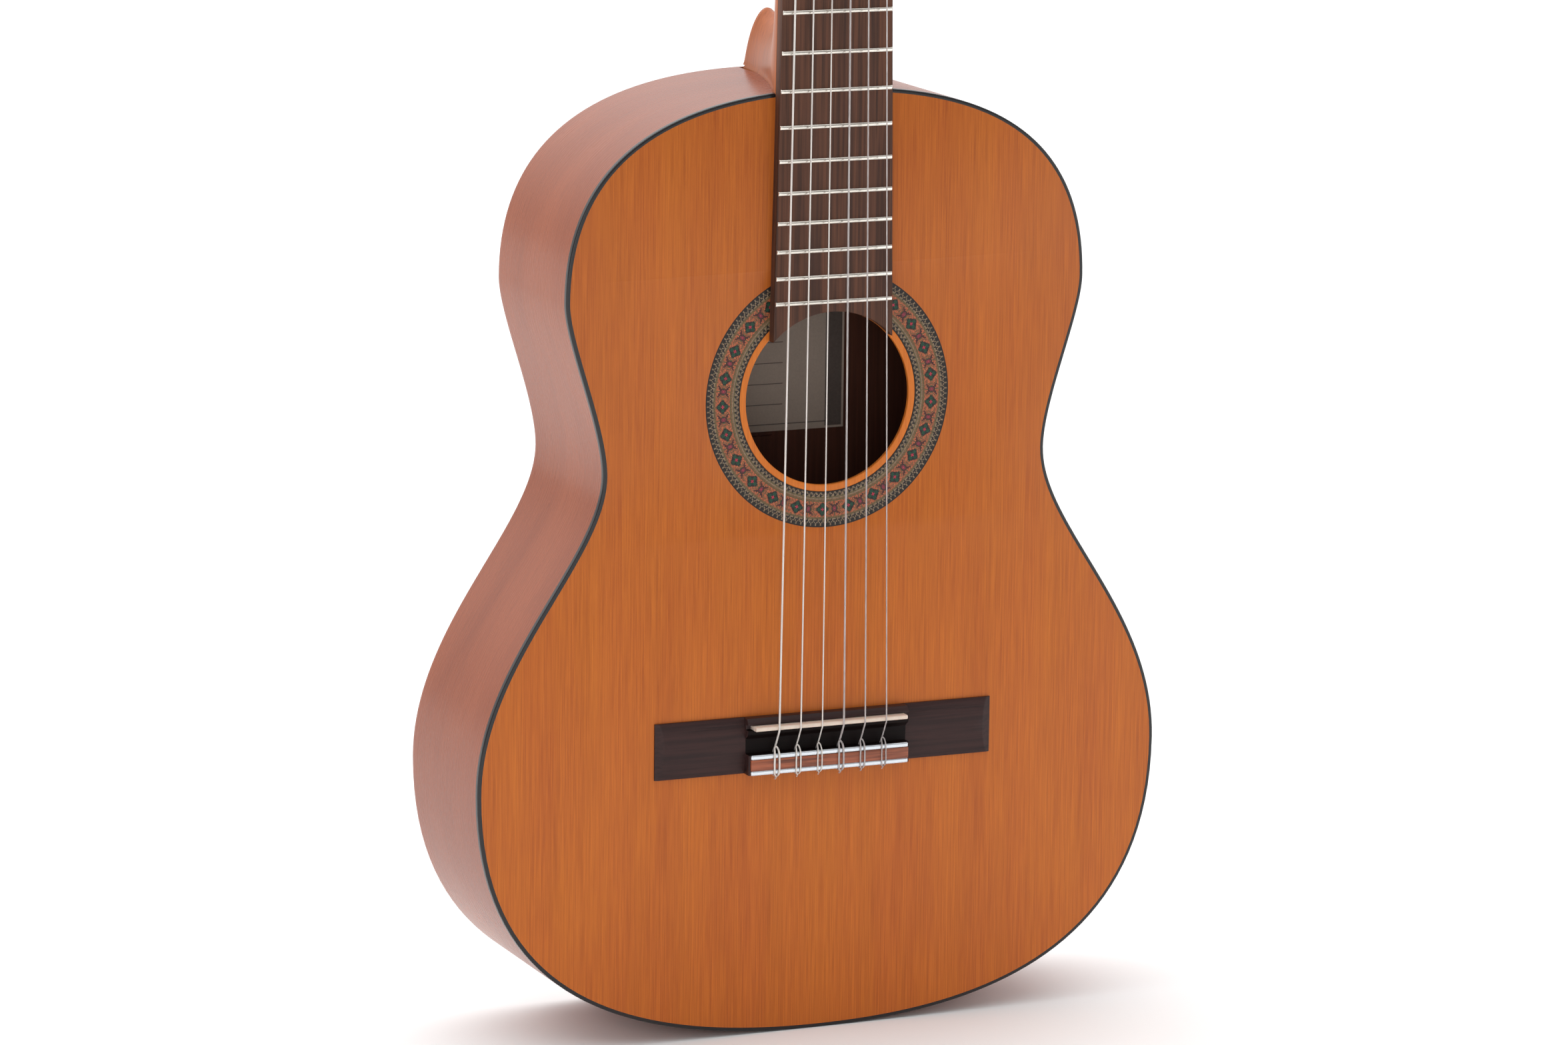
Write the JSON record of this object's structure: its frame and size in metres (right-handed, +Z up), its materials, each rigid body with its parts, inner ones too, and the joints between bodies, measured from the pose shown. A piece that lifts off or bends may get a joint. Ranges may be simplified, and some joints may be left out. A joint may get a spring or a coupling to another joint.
{
  "type": "classical guitar",
  "caption": "Nylon-string classical guitar with a cedar soundboard, mosaic rosette, tie-block bridge and slotted headstock with geared tuners.",
  "frame": {"origin": "middle of the bounding box's underside, below the body's tail", "axes": "+Z up along the neck, soundboard facing -Y, treble strings and tuners on the +X side"},
  "size_m": [0.3796, 0.1091, 1.0031],
  "materials": {
    "cedar": "satin lacquered cedar, fine straight grain",
    "rib_wood": "satin mahogany",
    "back_wood": "satin mahogany",
    "neck_wood": "satin cedro",
    "head_wood": "satin cedro",
    "rosewood": "open-grained rosewood",
    "bridge_wood": "satin rosewood",
    "veneer": "satin rosewood veneer",
    "black_binding": "polished black binding",
    "graft_wood": "satin ebonised wood",
    "rosette_mosaic": "lacquered wood mosaic",
    "spruce": "bare spruce",
    "lining_wood": "bare cedro",
    "strip_wood": "bare mahogany",
    "label_paper": "matt paper",
    "bone": "polished bone substitute",
    "white_trim": "polished ivory-white strip",
    "fret_nickel": "polished nickel silver",
    "plate_brass": "polished, lacquered",
    "screw_brass": "polished",
    "gear_brass": "machined",
    "worm_steel": "plated steel",
    "roller_white": "moulded plastic with string windings",
    "knob_pearl": "pearl-effect plastic",
    "wound_string": "silver-plated winding",
    "nylon_string": "clear nylon"
  },
  "bodies": {
    "guitar": {"soundboard": "cedar", "back_plate": "back_wood", "rib_bass": "rib_wood", "rib_treble": "rib_wood", "tail_block": "lining_wood", "top_linings": "lining_wood", "back_linings": "lining_wood", "fan_braces": "spruce", "harmonic_bars": "spruce", "soundhole_patch": "cedar", "back_braces": "spruce", "back_seam_strip": "strip_wood", "top_binding": "black_binding", "back_binding": "rib_wood", "tail_graft": "graft_wood", "rosette": "rosette_mosaic", "label": "label_paper", "bridge": "bridge_wood", "saddle": "bone", "tie_block_trim": "white_trim", "neck": "neck_wood", "heel_cap": "neck_wood", "fingerboard": "rosewood", "frets": "fret_nickel", "nut": "bone", "headstock": "head_wood", "headstock_veneer": "veneer", "tuner_plate_bass": "plate_brass", "tuner_plate_treble": "plate_brass", "plate_screws": "screw_brass", "string_1": "nylon_string", "string_2": "nylon_string", "string_3": "nylon_string", "string_4": "wound_string", "string_5": "wound_string", "string_6": "wound_string"},
    "knob_set_6": {"worm_6": "worm_steel", "knob_6": "knob_pearl"},
    "roller_set_6": {"roller_6": "roller_white", "gear_6": "gear_brass"},
    "knob_set_5": {"worm_5": "worm_steel", "knob_5": "knob_pearl"},
    "roller_set_5": {"roller_5": "roller_white", "gear_5": "gear_brass"},
    "knob_set_4": {"worm_4": "worm_steel", "knob_4": "knob_pearl"},
    "roller_set_4": {"roller_4": "roller_white", "gear_4": "gear_brass"},
    "knob_set_3": {"worm_3": "worm_steel", "knob_3": "knob_pearl"},
    "roller_set_3": {"roller_3": "roller_white", "gear_3": "gear_brass"},
    "knob_set_2": {"worm_2": "worm_steel", "knob_2": "knob_pearl"},
    "roller_set_2": {"roller_2": "roller_white", "gear_2": "gear_brass"},
    "knob_set_1": {"worm_1": "worm_steel", "knob_1": "knob_pearl"},
    "roller_set_1": {"roller_1": "roller_white", "gear_1": "gear_brass"}
  },
  "joints": [
    {"name": "knob_6_turn", "type": "hinge", "parent": "guitar", "child": "knob_set_6", "pos_m": [-0.0411, -0.01823, 0.87482], "axis": [0, 0.9659, -0.2588], "continuous": true},
    {"name": "roller_6_turn", "type": "hinge", "parent": "guitar", "child": "roller_set_6", "pos_m": [-0.02, -0.0203, 0.8671], "axis": [1, 0, 0], "continuous": true},
    {"name": "knob_5_turn", "type": "hinge", "parent": "guitar", "child": "knob_set_5", "pos_m": [-0.0411, -0.00917, 0.90863], "axis": [0, 0.9659, -0.2588], "continuous": true},
    {"name": "roller_5_turn", "type": "hinge", "parent": "guitar", "child": "roller_set_5", "pos_m": [-0.02, -0.01124, 0.9009], "axis": [1, 0, 0], "continuous": true},
    {"name": "knob_4_turn", "type": "hinge", "parent": "guitar", "child": "knob_set_4", "pos_m": [-0.0411, -0.00011, 0.94244], "axis": [0, 0.9659, -0.2588], "continuous": true},
    {"name": "roller_4_turn", "type": "hinge", "parent": "guitar", "child": "roller_set_4", "pos_m": [-0.02, -0.00218, 0.93471], "axis": [1, 0, 0], "continuous": true},
    {"name": "knob_3_turn", "type": "hinge", "parent": "guitar", "child": "knob_set_3", "pos_m": [0.0411, -0.00011, 0.94244], "axis": [0, 0.9659, -0.2588], "continuous": true},
    {"name": "roller_3_turn", "type": "hinge", "parent": "guitar", "child": "roller_set_3", "pos_m": [0.02, -0.00218, 0.93471], "axis": [1, 0, 0], "continuous": true},
    {"name": "knob_2_turn", "type": "hinge", "parent": "guitar", "child": "knob_set_2", "pos_m": [0.0411, -0.00917, 0.90863], "axis": [0, 0.9659, -0.2588], "continuous": true},
    {"name": "roller_2_turn", "type": "hinge", "parent": "guitar", "child": "roller_set_2", "pos_m": [0.02, -0.01124, 0.9009], "axis": [1, 0, 0], "continuous": true},
    {"name": "knob_1_turn", "type": "hinge", "parent": "guitar", "child": "knob_set_1", "pos_m": [0.0411, -0.01823, 0.87482], "axis": [0, 0.9659, -0.2588], "continuous": true},
    {"name": "roller_1_turn", "type": "hinge", "parent": "guitar", "child": "roller_set_1", "pos_m": [0.02, -0.0203, 0.8671], "axis": [1, 0, 0], "continuous": true}
  ],
  "couplings": [
    {"joint": "roller_6_turn", "follows": "knob_6_turn", "ratio": 0.071429},
    {"joint": "roller_5_turn", "follows": "knob_5_turn", "ratio": 0.071429},
    {"joint": "roller_4_turn", "follows": "knob_4_turn", "ratio": 0.071429},
    {"joint": "roller_3_turn", "follows": "knob_3_turn", "ratio": 0.071429},
    {"joint": "roller_2_turn", "follows": "knob_2_turn", "ratio": 0.071429},
    {"joint": "roller_1_turn", "follows": "knob_1_turn", "ratio": 0.071429}
  ]
}
